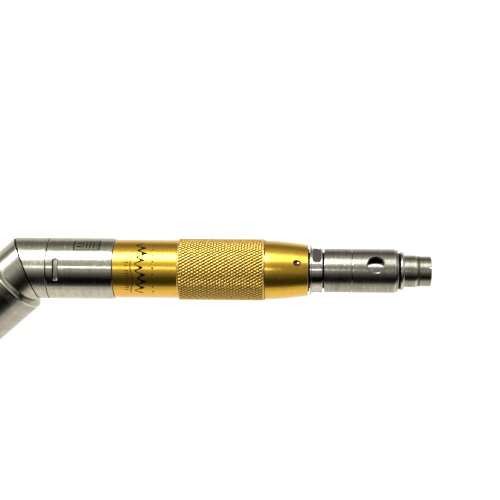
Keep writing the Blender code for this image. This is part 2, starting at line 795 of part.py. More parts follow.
def build_chuck(barrel):
    """The turning tube, the collet that it carries, the collet's spring and the ring that pushes it."""
    core = {"axis": barrel, "segments": CORE_SEGMENTS}
    chuck = turned(
        "chuck_tube",
        [
            (CHUCK_START, SHAFT_R + 0.08),
            (CHUCK_START, CHUCK_R),
            (CHUCK_SHOULDERS[0] - 0.5, CHUCK_R),
            (CHUCK_SHOULDERS[0], CHUCK_WINDOW_R),
            (CHUCK_SHOULDERS[1], CHUCK_WINDOW_R),
            (CHUCK_SHOULDERS[1] + 0.5, CHUCK_NOSE_R),
            (CHUCK_END, CHUCK_NOSE_R),
            (CHUCK_END, CHUCK_BORE_R - 0.05),
            (SPRING_STOP[1], CHUCK_BORE_R - 0.05),
            (SPRING_STOP[1], COLLET_STEM_R + 0.2),
            (SPRING_STOP[0], COLLET_STEM_R + 0.2),
            (SPRING_STOP[0], CHUCK_BORE_R),
            (CHUCK_SOCKET_END, CHUCK_BORE_R),
            (CHUCK_SOCKET_END, SHAFT_R + 0.08),
        ],
        finish="polished_steel",
        **core,
    )
    slot_length = 2 * CROSS_PIN_R + COLLET_TRAVEL + 0.6
    slot_x = CROSS_PIN_X + COLLET_TRAVEL / 2
    outline = stadium_outline(2 * CROSS_PIN_R + 0.3, slot_length, along_x=True, count=6)
    for number, at in enumerate((TOP, -TOP), 1):
        cut(chuck, radial_prism(f"pin_slot_{number}", slot_x, at, outline, (1.9, 4.2), barrel))

    collet = turned(
        "collet",
        [
            (COLLET_TAIL[0], 0),
            (COLLET_TAIL[0], COLLET_R),
            (COLLET_TAIL[1], COLLET_R),
            (COLLET_TAIL[1], COLLET_STEM_R),
            (COLLET_HEAD - 0.5, COLLET_STEM_R),
            (COLLET_HEAD, COLLET_R),
            (COLLET_END - 0.4, COLLET_R),
            (COLLET_END, COLLET_R - 0.4),
            (COLLET_END, SHANK_BORE_R),
            (SHANK_BORE_END, SHANK_BORE_R),
            (SHANK_BORE_END, 0),
        ],
        finish="bearing_steel",
        **core,
    )
    slit_x, slit_length, slit_width = COLLET_SLIT
    outline = rectangle(slit_length / 2, slit_width / 2)
    for number in range(1, 4):
        at = 120 * number - 30
        cut(collet, radial_prism(f"slit_{number}", slit_x, at, outline, (0.6, 4), barrel))
    pin_hole = circle_outline(CROSS_PIN_R + 0.07, 12)
    cut(collet, radial_prism("cross_hole", CROSS_PIN_X, TOP, pin_hole, (-4, 4), barrel))
    pin = circle_outline(CROSS_PIN_R, 12)
    reach = (-CROSS_PIN_REACH, CROSS_PIN_REACH)
    radial_prism("cross_pin", CROSS_PIN_X, TOP, pin, reach, barrel, "bearing_steel")
    build_spring(barrel)

    pusher = turned("pusher_ring", tube_outline(*PUSHER, *PUSHER_R), finish="bronze", **core)
    groove_half = CAM_PIN_R + 0.13
    margin = 7.0
    advance = -COLLET_TRAVEL * (TWIST + 2 * margin) / TWIST
    lead_in = COLLET_TRAVEL * margin / TWIST
    span = (CAM_PIN_X + lead_in - groove_half, CAM_PIN_X + lead_in + groove_half)
    arc = (TOP - margin, TOP + TWIST + margin)
    groove = arc_block("cam_groove", span, (4.75, 6), arc, barrel, advance=advance)
    cut(pusher, groove)


def build_spring(barrel):
    """A compression spring as one wire: evenly wound turns on a helix about the barrel axis."""
    per_turn = 12
    count = SPRING_TURNS * per_turn
    curve = bpy.data.curves.new("collet_spring", "CURVE")
    curve.dimensions = "3D"
    curve.bevel_depth = SPRING_WIRE_R * MM
    curve.bevel_resolution = 1
    curve.use_fill_caps = True
    spline = curve.splines.new("POLY")
    spline.points.add(count)
    start = SPRING_SPAN[0] + SPRING_WIRE_R
    length = SPRING_SPAN[1] - SPRING_SPAN[0] - 2 * SPRING_WIRE_R
    for i, point in enumerate(spline.points):
        turn = math.tau * i / per_turn
        x = start + length * i / count
        y, z = SPRING_R * math.cos(turn), SPRING_R * math.sin(turn)
        point.co = (x * MM, y * MM, z * MM, 1)
    spring = bpy.data.objects.new("collet_spring", curve)
    spring.parent = barrel
    curve.materials.append(material("spring_steel", "collet_spring"))
    bpy.context.collection.objects.link(spring)


def main():
    clear_scene()
    normal, arm = arm_directions()
    frame = bpy.data.objects.new("handpiece", None)
    frame.location = -arm * HOSE_FACE * MM
    bpy.context.collection.objects.link(frame)
    barrel = axis_empty("barrel_axis", (1, 0, 0), frame)
    mitre = axis_empty("mitre_axis", normal, frame)
    rear = axis_empty("rear_axis", arm, frame)
    bpy.context.view_layer.update()

    build_elbow_front(barrel, mitre)
    build_mitre_joint(mitre)
    build_elbow_rear(rear, mitre)
    build_hose_coupling(rear)
    build_rear_housing(barrel)
    build_motor(barrel)
    build_grip(barrel)
    build_nose(barrel)
    build_chuck(barrel)


main()
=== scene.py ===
"""The looks of the air-driven handpiece: smooth shells, real knurling and worn metal finishes.

Lengths are in millimetres, counted from the point where the axes of the barrel, the mitre joint and the
rear arm cross. Angles round the barrel run from +Y towards +Z, in degrees.
"""

import json
import math

import bmesh
import bpy
import numpy as np
from mathutils import Matrix, Vector


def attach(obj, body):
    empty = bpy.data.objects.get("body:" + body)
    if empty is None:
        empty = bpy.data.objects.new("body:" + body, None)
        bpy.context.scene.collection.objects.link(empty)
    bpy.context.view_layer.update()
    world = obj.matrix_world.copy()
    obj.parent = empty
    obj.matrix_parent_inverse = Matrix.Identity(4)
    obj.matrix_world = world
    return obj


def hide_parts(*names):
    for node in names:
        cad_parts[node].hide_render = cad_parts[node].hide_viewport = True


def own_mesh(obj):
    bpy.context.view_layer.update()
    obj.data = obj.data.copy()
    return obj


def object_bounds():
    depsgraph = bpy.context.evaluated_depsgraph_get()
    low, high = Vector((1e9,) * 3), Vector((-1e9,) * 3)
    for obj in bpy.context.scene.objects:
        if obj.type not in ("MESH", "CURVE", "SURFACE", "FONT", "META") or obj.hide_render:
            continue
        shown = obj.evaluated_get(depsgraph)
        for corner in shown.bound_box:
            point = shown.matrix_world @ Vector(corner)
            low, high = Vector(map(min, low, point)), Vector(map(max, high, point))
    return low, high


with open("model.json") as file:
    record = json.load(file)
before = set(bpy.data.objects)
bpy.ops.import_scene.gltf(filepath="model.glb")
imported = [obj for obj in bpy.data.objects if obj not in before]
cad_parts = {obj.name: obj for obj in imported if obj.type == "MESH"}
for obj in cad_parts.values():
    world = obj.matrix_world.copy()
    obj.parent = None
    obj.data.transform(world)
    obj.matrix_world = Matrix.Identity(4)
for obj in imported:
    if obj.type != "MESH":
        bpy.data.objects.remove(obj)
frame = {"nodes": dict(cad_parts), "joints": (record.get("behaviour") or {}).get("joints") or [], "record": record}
CAD_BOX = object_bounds()
JOINTS = {joint["name"]: joint for joint in frame["joints"]}
MM = 0.001
TOP = 90.0  # the angle that the nose's window and the collar's pocket face
ROUND = 184  # sides of a turned shell
FINE = 96  # sides of a turned part inside
CREASE = math.radians(27)
DOUBLES = 0.0001  # points this near to each other become one
SKIN = 0.004  # how far a cutter's rim stands proud of the surface that it cuts
FLOOR_GAP = 0.2  # from the object's lowest point to the floor

# Stations and radii
BARREL_R, SHELL_BORE_R = 9.5, 8.6
GAP = 0.2  # along the axis, from the mitre plane to the face of either half
FRONT_HALF_END, REAR_HALF_END = 7.35, 4.35
SLEEVE_R, SLEEVE_BORE_R = 11.43, 9.0
HOUSING_END, MOTOR_R = 28.0, 8.5
CARTRIDGE_R, BEARING_R = 7.35, 4.5
SLOT_X, SLOT_ARC, SLOT_WIDTH = 10.5, (86.5, 129.0), 1.65
GRIP_START, BAND_R, KNURL_R = 28.2, 9.07, 9.54
KNURL_START, KNURL_END = 48.0, 74.95
KNURL_AROUND, KNURL_ALONG, KNURL_STEPS, KNURL_DEPTH = 58, 15, 8, 0.36
COLLAR = (75.05, 88.35)
INDEX_X, PIN_X, CROSS_PIN_X = 84.95, 85.35, 87.2
TUBE_R, TUBE_BORE_R = 6.76, 5.66
WINDOW_X, WINDOW_R = 109.2, 2.7
CORE_R, SPIGOT_R, TIP_R, TIP = 5.56, 4.94, 4.63, 126.35


class Line:
    """A line that pieces turn about, with its own x along it, and y and z across it."""

    def __init__(self, origin, axis):
        self.origin = np.array(origin, float)
        turn = Vector(axis).to_track_quat("X", "Z").to_matrix()
        self.axes = np.array(turn).T
        across_mitre = self.axes @ np.array(JOINTS["mitre_swivel"]["axis"])
        self.lean = -across_mitre[1:] / across_mitre[0]

    def world(self, points):
        """Points given on this line, in the scene's metres."""
        return (self.origin + points @ self.axes) * MM


CENTRE = np.array(JOINTS["elbow_twist"]["pos_m"]) / MM
BARREL = Line(CENTRE, JOINTS["elbow_twist"]["axis"])
MITRE = Line(CENTRE, JOINTS["mitre_swivel"]["axis"])
ARM = Line(CENTRE, JOINTS["coupling_swivel"]["axis"])


# Meshes


def piece(name, points, faces, edge=None):
    """Puts a mesh into the scene: doubles merged, faces outwards, creases kept sharp.

    The finishes read edge, which is 1 on an outer edge, -1 in a corner and 0 elsewhere.
    """
    mesh = bpy.data.meshes.new(name)
    mesh.from_pydata(points.reshape(-1, 3), [], faces)
    if edge is not None:
        mesh.attributes.new("edge", "FLOAT", "POINT").data.foreach_set("value", edge.ravel())
    tidied = bmesh.new()
    tidied.from_mesh(mesh)
    bmesh.ops.remove_doubles(tidied, verts=tidied.verts, dist=DOUBLES * MM)
    bmesh.ops.recalc_face_normals(tidied, faces=tidied.faces)
    tidied.to_mesh(mesh)
    tidied.free()
    soften(mesh)
    made = bpy.data.objects.new(name, mesh)
    bpy.context.scene.collection.objects.link(made)
    return made


def soften(mesh):
    """Smooth shading, with the edges that turn more than the crease angle kept sharp."""
    mesh.shade_smooth()
    mesh.set_sharp_from_angle(angle=CREASE)


def grid_faces(rows, columns, wrap_rows):
    """Four-sided faces between neighbouring points of a grid whose columns close on themselves."""
    i = np.arange(rows if wrap_rows else rows - 1)[:, None]
    j = np.arange(columns)[None, :]
    below, right = (i + 1) % rows, (j + 1) % columns
    corners = (i * columns + j, below * columns + j, below * columns + right, i * columns + right)
    return np.stack(np.broadcast_arrays(*corners), axis=-1).reshape(-1, 4).tolist()


def rounded(outline, fillet):
    """Each corner P of an outline becomes the parabola (1-t)(1-t)A + 2t(1-t)P + ttB.

    A and B lie on the two sides, a fillet's length away from P, with one more point just beyond each.
    An outline's points are (x, radius, fillet, share), and share is 1 where x is counted from the
    mitre plane. The share may be left out, or both it and the fillet. It returns the points, and for
    each how far it is on an outer edge, 1, or in a corner, -1.
    """
    left_out = (fillet, 0.0)
    full = np.array([(*p, *left_out[len(p) - 2 :]) for p in outline], float)
    corner, size = full[:, [0, 1, 3]], full[:, 2:3]
    before, after = np.roll(corner, 1, axis=0) - corner, np.roll(corner, -1, axis=0) - corner
    lengths = [np.linalg.norm(side, axis=1, keepdims=True) + 1e-9 for side in (before, after)]
    reach = np.minimum(size, 0.4 * np.minimum(*lengths))
    starts, ends = (corner + side / length * reach for side, length in zip((before, after), lengths))
    t = np.array([0, 0.25, 0.5, 0.75, 1])[None, :, None]
    arc = (1 - t) ** 2 * starts[:, None] + 2 * t * (1 - t) * corner[:, None] + t**2 * ends[:, None]
    outer = [(1.22 * side[:, None] - 0.22 * corner[:, None]) for side in (starts, ends)]
    points = np.concatenate([outer[0], arc, outer[1]], axis=1)
    turning = before[:, 0] * after[:, 1] - before[:, 1] * after[:, 0]
    edge = np.sign(turning)[:, None] * np.array([0, 0.6, 1, 1, 1, 0.6, 0])
    kept = np.ones(points.shape[:2], bool)
    kept[size[:, 0] == 0, 1:] = False
    points[size[:, 0] == 0, 0] = corner[size[:, 0] == 0]
    edge[size[:, 0] == 0] = 0
    return points[kept], edge[kept]


def turned(name, outline, line=BARREL, fillet=0.08, sides=ROUND):
    """An outline carried round a line: (x + share * r * lean, r cos a, r sin a) for every angle a."""
    points, edge = rounded(outline, fillet)
    turn = np.linspace(0, math.tau, sides, endpoint=False)[None, :]
    x, r, share = (points[:, k][:, None] for k in range(3))
    y, z = r * np.cos(turn), r * np.sin(turn)
    along = x + share * (line.lean[0] * y + line.lean[1] * z)
    local = np.stack([along, y, z], axis=-1)
    closed = not (outline[0][1] == 0 and outline[-1][1] == 0)
    faces = grid_faces(len(points), sides, closed)
    spread = np.repeat(edge[:, None], sides, axis=1)
    return piece(name, line.world(local), faces, spread)


def tube(start, end, bore, outer):
    """A plain tube's section."""
    return [(start, bore), (start, outer), (end, outer), (end, bore)]


def rod(start, end, r):
    """A solid rod's section, which closes on the line."""
    return [(start, 0), (start, r), (end, r), (end, 0)]


def ring_of(x, radius, wire, count=12):
    """A round rubber ring's section: (x + w cos a, R + w sin a)."""
    turn = np.linspace(0, math.tau, count, endpoint=False)
    return [(x + wire * math.cos(a), radius + wire * math.sin(a), 0.0) for a in turn.tolist()]


def grooves(*spans, r):
    """Square grooves along a surface of radius r, each given by its start, its end and its floor."""
    return [p for a, b, floor in spans for p in ((a, r), (a, floor), (b, floor), (b, r))]


def stadium(width, length, along_x, count=64):
    """A slot's outline: a circle of half the width, its two halves pulled apart to the length."""
    turn = np.linspace(0, math.tau, count, endpoint=False) + math.pi / count
    flat = np.stack([np.cos(turn), np.sin(turn)], axis=1) * width / 2
    flat[:, 0] += np.sign(flat[:, 0]) * (length - width) / 2
    return flat if along_x else flat[:, ::-1] * (1, -1)


def cutter(outline, x, at, surface_r, floor_r, line=BARREL, flare=0.1):
    """A slot's outline sunk along the radius at one angle, its rim flared where it meets the surface.

    A level of radius L is (x + u, sqrt(L*L - v*v), v), so that the flare follows the round surface.
    """
    grow = 1 + flare / np.abs(outline).max(axis=0)
    rim = outline * grow
    levels = [(outline, floor_r, False), (outline, surface_r - flare, True)]
    levels += [(rim, surface_r + SKIN, True), (rim, surface_r + 1.5, True)]
    rings = []
    for flat, level, follows in levels:
        height = np.sqrt(level**2 - flat[:, 1] ** 2) if follows else np.full(len(flat), level)
        rings.append(np.stack([x + flat[:, 0], height, flat[:, 1]], axis=1))
    caps = [np.tile((x, ring[:, 1].mean(), 0), (len(outline), 1)) for ring in (rings[0], rings[-1])]
    local = np.stack([caps[0], *rings, caps[1]])
    turn = math.radians(at)
    cos, sin = math.cos(turn), math.sin(turn)
    y, z = local[..., 1].copy(), local[..., 2].copy()
    local[..., 1], local[..., 2] = y * cos - z * sin, y * sin + z * cos
    edge = np.zeros(local.shape[:2])
    edge[2:4] = 1
    return piece("cutter", line.world(local), grid_faces(len(local), len(outline), False), edge)


def carve(made, *cutters):
    """Takes the cutters away from a piece for good, and clears them up."""
    for tool in cutters:
        cut = made.modifiers.new("cut", "BOOLEAN")
        cut.operation, cut.solver, cut.object = "DIFFERENCE", "EXACT", tool
    graph = bpy.context.evaluated_depsgraph_get()
    mesh = bpy.data.meshes.new_from_object(made.evaluated_get(graph))
    made.modifiers.clear()
    made.data = mesh
    soften(mesh)
    for tool in cutters:
        bpy.data.objects.remove(tool)
    return made


# Shader maths


class Value:
    """One output of a shader node, on which arithmetic reads as it does on numbers."""

    def __init__(self, finish, socket):
        self.finish, self.socket = finish, socket

    def maths(self, operation, *others):
        """The result of a maths node with this value as its first input."""
        inputs = dict(enumerate((self, *others)))
        return self.finish.node("ShaderNodeMath", {"operation": operation}, inputs)

    def __add__(self, other):
        return self.maths("ADD", other)

    def __sub__(self, other):
        return self.maths("SUBTRACT", other)

    def __rsub__(self, other):
        return self.finish.node("ShaderNodeMath", {"operation": "SUBTRACT"}, {0: other, 1: self})

    def __mul__(self, other):
        return self.maths("MULTIPLY", other)

    def __pow__(self, other):
        return self.maths("POWER", other)

    def __abs__(self):
        return self.maths("ABSOLUTE")

    def most(self, other):
        """The greater of this value and another."""
        return self.maths("MAXIMUM", other)

    def rise(self, low, high):
        """0 below low, 1 above high, and a smooth climb between them."""
        settings = {"interpolation_type": "SMOOTHSTEP"}
        return self.finish.node("ShaderNodeMapRange", settings, {0: self, 1: low, 2: high})

    def near(self, middle, half, soft=0.05):
        """1 within half of the middle, 0 outside it."""
        return 1 - abs(self - middle).rise(half - soft, half + soft)

    def apart(self, pitch):
        """Distance from the nearest whole multiple of a pitch."""
        return self.maths("PINGPONG", pitch / 2)


class Finish:
    """A material under construction, or the world's light."""

    def __init__(self, tree):
        self.tree = tree
        tree.nodes.clear()

    def node(self, kind, settings=None, inputs=None, output=0):
        """Adds a node with its settings, and its inputs as numbers or links. It returns one output."""
        made = self.tree.nodes.new(kind)
        for key, value in (settings or {}).items():
            if key == "stops":
                stops = made.color_ramp.elements
                for place, colour in value[1:-1]:
                    stops.new(place).color = colour
                for stop, (place, colour) in ((stops[0], value[0]), (stops[-1], value[-1])):
                    stop.position, stop.color = place, colour
            else:
                setattr(made, key, value)
        for key, value in (inputs or {}).items():
            if isinstance(value, Value):
                self.tree.links.new(value.socket, made.inputs[key])
            else:
                made.inputs[key].default_value = value
        return Value(self, made.outputs[output] if made.outputs else None)

    def vector(self, x, y, z):
        """Three values as one vector."""
        return self.node("ShaderNodeCombineXYZ", None, {0: x, 1: y, 2: z})

    def noise(self, x, y, z, detail=2.0, rough=0.5):
        """Cloudy noise from 0 to 1, with features about one unit apart."""
        inputs = {"Vector": self.vector(x, y, z), "Scale": 1.0, "Detail": detail, "Roughness": rough}
        return self.node("ShaderNodeTexNoise", None, inputs)

    def mix(self, share, first, second):
        """The colour that is a share of the way from the first to the second."""
        inputs = {0: share, 6: first, 7: second}
        return self.node("ShaderNodeMix", {"data_type": "RGBA"}, inputs, output=2)

    def local(self, line):
        """x, y and z in millimetres on a line's own directions."""
        here = self.node("ShaderNodeTexCoord", output=3)
        settings = {"operation": "SUBTRACT"}
        from_line = self.node("ShaderNodeVectorMath", settings, {0: here, 1: tuple(line.origin * MM)})
        made = []
        for axis in line.axes:
            inputs = {0: from_line, 1: tuple(axis / MM)}
            made.append(self.node("ShaderNodeVectorMath", {"operation": "DOT_PRODUCT"}, inputs, "Value"))
        return made

    def edges(self):
        """How far a place is on an outer edge, and how far it is in an inner corner."""
        edge = self.node("ShaderNodeAttribute", {"attribute_name": "edge"}, None, "Fac")
        return edge.rise(0.1, 0.9), (edge * -1).rise(0.1, 0.9)


def surface(name, metallic):
    """A new material, whose metallic share is the same all over."""
    made = bpy.data.materials.new(name)
    made.use_nodes = True
    finish = Finish(made.node_tree)
    shader = finish.node("ShaderNodeBsdfPrincipled", None, {"Metallic": metallic})
    finish.node("ShaderNodeOutputMaterial", None, {0: shader})
    return made, finish, shader.socket.node


def connect(finish, shader, colour, rough, height, depth):
    """Joins a colour, roughness and height to the shader. A height of 1 is the depth in millimetres."""
    bump = finish.node("ShaderNodeBump", None, {"Strength": 1.0, "Distance": depth * MM, "Height": height})
    for key, value in (("Base Color", colour), ("Roughness", rough), ("Normal", bump)):
        finish.tree.links.new(value.socket, shader.inputs[key])


def hairlines(finish, x, y, z, slant):
    """Thin random scratches: the places where a stretched noise passes through its middle value."""
    along = x * 0.16 + y * slant
    across = finish.noise(along, y * 0.9 - x * 0.22 * slant, z * 0.9, 1.0)
    broken = finish.noise(x * 0.7, y * 0.7 + 9.0, z * 0.7, 1.0).rise(0.5, 0.62)
    return across.near(0.5, 0.006, 0.004) * broken


def metal(name, line, light, dark, rough, grain, marks=None):
    """Turned metal: fine lathe rings, cloudy handling, hair scratches, bright edges of wear and painted highlight,
    painted shade in corners.
    """
    made, finish, shader = surface(name, 1.0)
    x, y, z = finish.local(line)
    ring = x + (y * y + z * z) ** 0.5
    fine = finish.noise(ring * 11, y * 0.3, z * 0.3, 3.0, 0.7)
    broad = finish.noise(ring * 1.7, y * 0.12, z * 0.12, 2.0)
    cloud = finish.noise(x * 0.28, y * 0.3, z * 0.3, 4.0, 0.6)
    speck = finish.noise(x * 5, y * 5, z * 5, 2.0).rise(0.68, 0.76)
    scratch = hairlines(finish, x, y, z, 0.35).most(hairlines(finish, x, z, y, -0.6))
    edge, corner = finish.edges()
    dirt_and_corner_shade = (*(0.25 * c for c in dark[:3]), 1)
    shade = (broad * 0.45 + cloud * 0.4 + fine * 0.3).rise(0.4, 0.75)
    colour = finish.mix(shade, light, dark)
    # Lighter outer edges and scratches: the edges are partly wear and partly a painted highlight
    colour = finish.mix(scratch * 0.35 + edge * 0.6, colour, EDGE_WEAR_AND_HIGHLIGHT)
    # Darker in inner corners, which is painted shade, and in random specks of dirt
    colour = finish.mix(corner * 0.75 + speck * 0.25, colour, dirt_and_corner_shade)
    amount = fine * (0.16 * grain) + cloud * 0.16 + scratch * 0.1 - edge * 0.06 + corner * 0.2
    if marks:
        # The marks are print on the housing, and painted shade in the joint and nose gaps; both take the same dark
        # tone
        dark_mark = marks(x, y, z)
        colour = finish.mix(dark_mark, colour, INK_AND_SHADE)
        amount = amount + dark_mark * 0.3
    height = fine * grain + broad * 0.4 - scratch * 0.8
    connect(finish, shader, colour, amount + (rough - 0.11), height, 0.0035)
    return made


def housing_marks(x, y, z):
    """Plain bars in a frame, etched into the rear housing, with a dot by the elbow and a short bar."""
    at = z.maths("ARCTAN2", y) * math.degrees(1)
    side = (at - 55.5) * math.radians(BARREL_R)
    along = x - 19.85
    frame_line = abs(along).most(abs(side) * (4.05 / 2.25)).near(3.95, 0.2)
    inside = abs(along).rise(3.3, 3.25) * abs(side).rise(1.7, 1.65)
    bars = along.apart(1.1).near(0, 0.17) * inside * along.rise(-1.2, -1.15)
    block = abs(along + 2.3).near(0, 0.75) * abs(abs(side) - 0.85).near(0, 0.28)
    dot = ((x - 9.04) ** 2 + ((at - 52.4) * math.radians(BARREL_R)) ** 2).rise(0.1, 0.06)
    small = abs(x - 21.3).near(0, 0.5) * abs(at - 156).near(0, 0.9, 0.3)
    return frame_line.most(bars).most(block).most(dot * 0.6).most(small * 0.6)


def joint_gap_shade(line, end):
    """Dark marks of painted shade in the joint gaps: on the slanted face where the halves meet and past a half's
    far shoulder.
    """

    def marks(x, y, z):
        from_face = x - y * float(line.lean[0]) - z * float(line.lean[1])
        return from_face.rise(GAP + 0.06, GAP + 0.03).most(x.rise(end - 0.04, end - 0.01))

    return marks


def nose_gap_shade(x, y, z):
    """Painted shade on the core, where it shows in the gaps between the nose pieces."""
    r = (y * y + z * z) ** 0.5
    return r.rise(6.75, 6.65) * x.rise(117.2, 117.1)


def gold(name, marked):
    """Dyed anodised aluminium under its clear oxide: drawn lines, dull grooves, pale worn edges, painted shade in
    corners and the pocket.
    """
    made, finish, shader = surface(name, 0.95)
    shader.inputs["Coat Roughness"].default_value = 0.06
    x, y, z = finish.local(BARREL)
    r = (y * y + z * z) ** 0.5
    at = z.maths("ARCTAN2", y) * math.degrees(1)
    fine = finish.noise((x + r) * 13, y * 0.25, z * 0.25, 3.0, 0.7)
    cloud = finish.noise(x * 0.3, y * 0.35, z * 0.35, 4.0, 0.6)
    scratch = hairlines(finish, x, y, z, 0.4)
    edge, corner = finish.edges()
    colour = finish.mix((fine * 0.5 + cloud * 0.6).rise(0.35, 0.8), GOLD_LIGHT, GOLD_DEEP)
    colour = finish.mix(edge * 0.55 + scratch * 0.3, colour, GOLD_EDGE)
    on_knurl = x.rise(KNURL_START, KNURL_START + 0.2) * x.rise(KNURL_END + 0.05, KNURL_END)
    groove = on_knurl * r.rise(KNURL_R - 0.05, KNURL_R - 0.22)
    worn = on_knurl * r.rise(KNURL_R - 0.035, KNURL_R) * cloud.rise(0.45, 0.65)
    colour = finish.mix(on_knurl * 0.4, colour, KNURL_TONE)
    colour = finish.mix(worn * 0.65, colour, KNURL_WORN)
    # Painted shade on the floor of the collar's pocket, so that it reads as a dark hole
    pocket_shade = x.near(INDEX_X, 1.5) * r.rise(8.1, 8.0) * abs(y).rise(1.4, 1.3)
    colour = finish.mix(groove * 0.9, colour, KNURL_GROOVE)
    # Painted shade: darker in inner corners and in the pocket
    colour = finish.mix((corner * 0.6).most(pocket_shade), colour, GOLD_SHADE)
    amount = fine * 0.09 + cloud * 0.12 + scratch * 0.1 + groove * 0.2 + on_knurl * 0.08
    clear = 1 - on_knurl * 0.7
    if marked:
        dark_mark = band_marks(x, at)
        colour = finish.mix(dark_mark, colour, INK_AND_SHADE)
        clear = clear * (1 - dark_mark)
        amount = amount + dark_mark * 0.4
    finish.tree.links.new((clear * 0.5).socket, shader.inputs["Coat Weight"])
    connect(finish, shader, colour, amount + 0.09, fine * 0.5 + cloud * 0.3 - scratch * 0.7, 0.003)
    return made


def band_marks(x, at):
    """A plain waved line between two rows of fine ticks, lasered into the gold band.

    The line swings every 14.2 degrees round the band, and swells every 57.
    """
    on = at.rise(46, 46.5) * at.rise(160, 159.5)
    swing = (at * math.radians(360 / 14.2)).maths("SINE")
    slow = (at * math.radians(360 / 57)).maths("SINE")
    wave = abs(x - 36.6 - swing * 0.95 - slow * 0.55)
    stroke = (wave - slow * 0.12 - swing * 0.2).rise(0.60, 0.50)
    stroke = stroke.most(abs(x - 34.1 - slow * 0.4).near(0, 0.14) * at.rise(80, 81))
    ticks = at.apart(5.2).near(0, 0.9, 0.2) * abs(x - 32.7 - slow * 0.25).near(0, 0.65)
    few = at.apart(26).near(13, 8.5, 0.4) * at.rise(88, 88.5)
    dots = at.apart(13).near(0, 1.6, 0.3) * abs(x - 40.6).near(0, 0.3)
    return on * stroke.most(ticks * few).most(dots * 0.9)


def dull(name, light, dark, rough, metallic, scale):
    """Rubber, phenolic or bronze: mottled, with a fine grain and pale rubbed edges."""
    made, finish, shader = surface(name, metallic)
    x, y, z = finish.local(BARREL)
    grain = finish.noise(x * scale, y * scale, z * scale, 4.0, 0.65)
    broad = finish.noise(x * 0.5, y * 0.5, z * 0.5, 3.0)
    edge, corner = finish.edges()
    colour = finish.mix((grain * 0.6 + broad * 0.5).rise(0.35, 0.75), light, dark)
    rubbed = (*(min(1, 1.6 * c + 0.02) for c in light[:3]), 1)
    colour = finish.mix(edge * 0.3, colour, rubbed)
    connect(finish, shader, colour, grain * 0.2 + broad * 0.1 + (rough - 0.15), grain, 0.01)
    return made


# Colours. A metal's own pair is its lighter tone and its darker one
# Dark of printed marks, used as well for painted shade in joint gaps
INK_AND_SHADE = (0.006, 0.004, 0.003, 1)
# The light tone of worn edges, which also serves as a painted highlight on them
EDGE_WEAR_AND_HIGHLIGHT = (0.8, 0.79, 0.76, 1)
GOLD_LIGHT, GOLD_DEEP = (0.87, 0.53, 0.05, 1), (0.77, 0.44, 0.03, 1)
# The gold's worn-edge tone, then the dark of its painted shade in corners and in the pocket
GOLD_EDGE, GOLD_SHADE = (0.95, 0.80, 0.42, 1), (0.06, 0.025, 0.002, 1)
KNURL_TONE, KNURL_WORN = (0.82, 0.60, 0.20, 1), (0.97, 0.85, 0.48, 1)
KNURL_GROOVE = (0.16, 0.07, 0.008, 1)
STEEL = (0.59, 0.57, 0.465, 1), (0.46, 0.44, 0.35, 1)
SATIN = (0.42, 0.405, 0.33, 1), (0.28, 0.27, 0.215, 1)
SLEEVE = (0.5, 0.485, 0.40, 1), (0.38, 0.37, 0.30, 1)
BLASTED = (0.27, 0.24, 0.19, 1), (0.17, 0.15, 0.12, 1)
POLISHED = (0.58, 0.56, 0.49, 1), (0.46, 0.45, 0.39, 1)
GROUND = (0.62, 0.62, 0.63, 1), (0.5, 0.5, 0.51, 1)
SPRING = (0.6, 0.58, 0.53, 1), (0.44, 0.43, 0.4, 1)
FINISHES = {
    "brushed_steel": metal("turned_steel", BARREL, *STEEL, 0.2, 0.5, joint_gap_shade(BARREL, FRONT_HALF_END)),
    "housing": metal("housing_steel", BARREL, *STEEL, 0.14, 0.4, housing_marks),
    "arm_steel": metal("arm_steel", ARM, *STEEL, 0.2, 0.5, joint_gap_shade(ARM, REAR_HALF_END)),
    "arm_satin": metal("arm_satin", ARM, *SATIN, 0.28, 0.7),
    # The core's satin steel, with painted shade where it shows in the gaps between the nose pieces
    "gap_shaded_steel": metal("gap_shaded_steel", BARREL, *SATIN, 0.21, 0.5, nose_gap_shade),
    "sleeve_steel": metal("sleeve_steel", ARM, *SLEEVE, 0.19, 0.45),
    "satin_steel": metal("satin_steel", BARREL, *SATIN, 0.21, 0.5),
    "blasted": metal("blasted_steel", BARREL, *BLASTED, 0.5, 0.9),
    "polished_steel": metal("polished_steel", BARREL, *POLISHED, 0.09, 0.15),
    "bearing_steel": metal("ground_steel", BARREL, *GROUND, 0.2, 0.4),
    "spring_steel": metal("spring_steel", BARREL, *SPRING, 0.22, 0.4),
    "gold_anodised": gold("gold_anodised", False),
    "marked_gold": gold("marked_gold", True),
    "bronze": dull("bronze", (0.60, 0.36, 0.15, 1), (0.40, 0.22, 0.08, 1), 0.4, 1.0, 6),
    "phenolic": dull("phenolic", (0.30, 0.14, 0.05, 1), (0.17, 0.07, 0.025, 1), 0.6, 0.0, 4),
    "black_rubber": dull("rubber", (0.022, 0.022, 0.022, 1), (0.012, 0.012, 0.012, 1), 0.7, 0.0, 8),
}


def put(made, finish, body):
    """Gives a piece its finish and the CAD body that it moves with, and hides the CAD node that it stands for."""
    made.data.materials.clear()
    made.data.materials.append(FINISHES[finish])
    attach(made, body)
    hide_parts(made.name.removesuffix("_look"))


# Elbow and hose end


